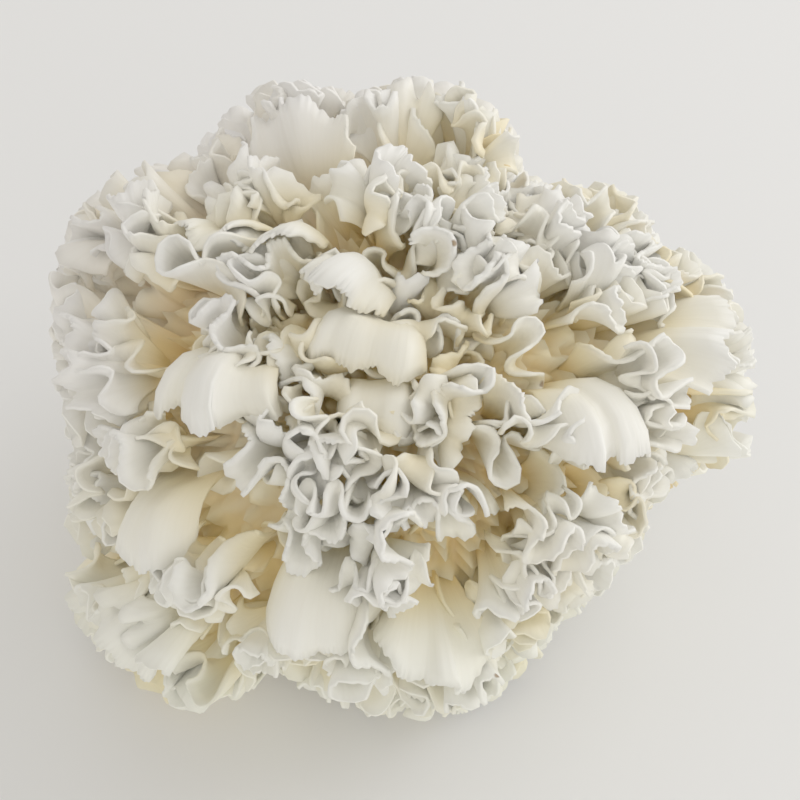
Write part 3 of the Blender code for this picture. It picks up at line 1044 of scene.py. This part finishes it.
tissue = tissue_material()
print("tissue of", len(tissue.node_tree.nodes), "nodes")

# %% Stem material
CUT_STOPS = ((0.30, (0.66, 0.52, 0.32)), (0.55, (0.80, 0.70, 0.50)), (0.75, (0.86, 0.79, 0.62)))
CUT_SCALE = 420
CUT_STRETCH = (1, 1, 0.18)
CUT_BUMP = 0.0005
CUT_ROUGHNESS = (0.5, 0.7)


def cut_material():
    """Dense tissue with fibres: a noise that is stretched along the stem."""
    w = Wiring("cut_tissue")
    stretched = w.nodes.new("ShaderNodeVectorMath")
    stretched.operation = "MULTIPLY"
    w.link(w.position(), stretched.inputs[0])
    stretched.inputs[1].default_value = CUT_STRETCH
    fibres = w.noise(stretched.outputs["Vector"], CUT_SCALE, 5.0)
    w.link(w.ramp(fibres, CUT_STOPS), w.shader.inputs["Base Color"])
    w.link(w.ranged(fibres, *MIDDLE_OF_NOISE, *CUT_ROUGHNESS), w.shader.inputs["Roughness"])
    w.bump(fibres, CUT_BUMP)
    return w.material


cut_tissue = cut_material()
for piece in pieces:
    piece.data.materials.clear()
    piece.data.materials.append(cut_tissue if piece == stem else tissue)
print(len(pieces), "pieces dressed")

# %% [markdown]
# ## Setting the pieces on the body
#
# All pieces stand for the one solid and ride on its body, and the solid is hidden.

# %% Ride and replace
for piece in pieces:
    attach(piece, BODY)
    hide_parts(NODE)
print("declared", len(pieces), "pieces")

# %% [markdown]
# ## Stage, light and camera
#
# A plain pale floor and soft light, as in a product picture. The camera looks down from the
# photograph's angle with a long lens, as far away as makes a pixel the size it has there.

# %% Floor
FLOOR_SIZE = 6
FLOOR_COLOUR = (0.9, 0.9, 0.9, 1)
bpy.ops.mesh.primitive_plane_add(size=FLOOR_SIZE, location=(0, 0, 0))
floor = bpy.context.object
floor.name = "floor"
floor_paint = bpy.data.materials.new("pale_floor")
floor_paint.use_nodes = True
floor_paint.node_tree.nodes["Principled BSDF"].inputs["Base Color"].default_value = FLOOR_COLOUR
floor.data.materials.append(floor_paint)
print("floor laid")

# %% Light
SKY_COLOUR = (1.0, 0.965, 0.895, 1)
SKY_STRENGTH = 0.68
EXPOSURE = -0.45
GAMMA = 1.65
scene = bpy.context.scene
world = bpy.data.worlds.new("soft_sky")
scene.world = world
world.use_nodes = True
sky = world.node_tree.nodes["Background"]
sky.inputs["Color"].default_value = SKY_COLOUR
sky.inputs["Strength"].default_value = SKY_STRENGTH


def soft_box(name, place, size, power, colour):
    light = bpy.data.lights.new(name, "AREA")
    light.size, light.energy, light.color = size, power, colour
    box = bpy.data.objects.new(name, light)
    scene.collection.objects.link(box)
    box.location = place
    box.rotation_euler = (Vector(HEAD_CENTRE) - Vector(place)).to_track_quat("-Z", "Y").to_euler()


soft_box("key", place=(1.1, 0.55, 0.65), size=1.4, power=13.5, colour=(0.985, 0.99, 1))
soft_box("fill", place=(0.5, -0.8, 0.5), size=1.2, power=1.6, colour=(0.98, 1, 0.98))

# The fronds let light through, which lifts their shade, and the high gamma stands for that
scene.view_settings.view_transform = "Standard"
scene.view_settings.exposure = EXPOSURE
scene.view_settings.gamma = GAMMA
print("two soft boxes and a soft sky")

# %% Light among the folds
# Light that has bounced among the folds twice is nearly even, so the sky's light stands for it
BOUNCES = 2
BOUNCE_STRENGTH = 1.4
BOUNCE_REACH = 0.015
scene.cycles.use_fast_gi = True
scene.cycles.fast_gi_method = "REPLACE"
scene.cycles.ao_bounces_render = BOUNCES
world.light_settings.ao_factor = BOUNCE_STRENGTH
world.light_settings.distance = BOUNCE_REACH
print("light is followed for", BOUNCES, "bounces")

# %% Camera
LENS = 120
SENSOR = 36
FRAME_PIXELS = 800
camera = bpy.data.cameras.new("camera")
camera.lens = LENS
camera.sensor_width = SENSOR
camera_object = bpy.data.objects.new("camera", camera)
scene.collection.objects.link(camera_object)
distance = LENS / SENSOR * FRAME_PIXELS * PIXEL
camera_object.location = Vector(HEAD_CENTRE) + distance * Vector(VIEW_BACK)
camera_object.rotation_euler = (-Vector(VIEW_BACK)).to_track_quat("-Z", "Y").to_euler()
scene.camera = camera_object
print("camera", round(distance, 3), "m from the head")

# %% Sizes
print("box of the solids", cad_box)
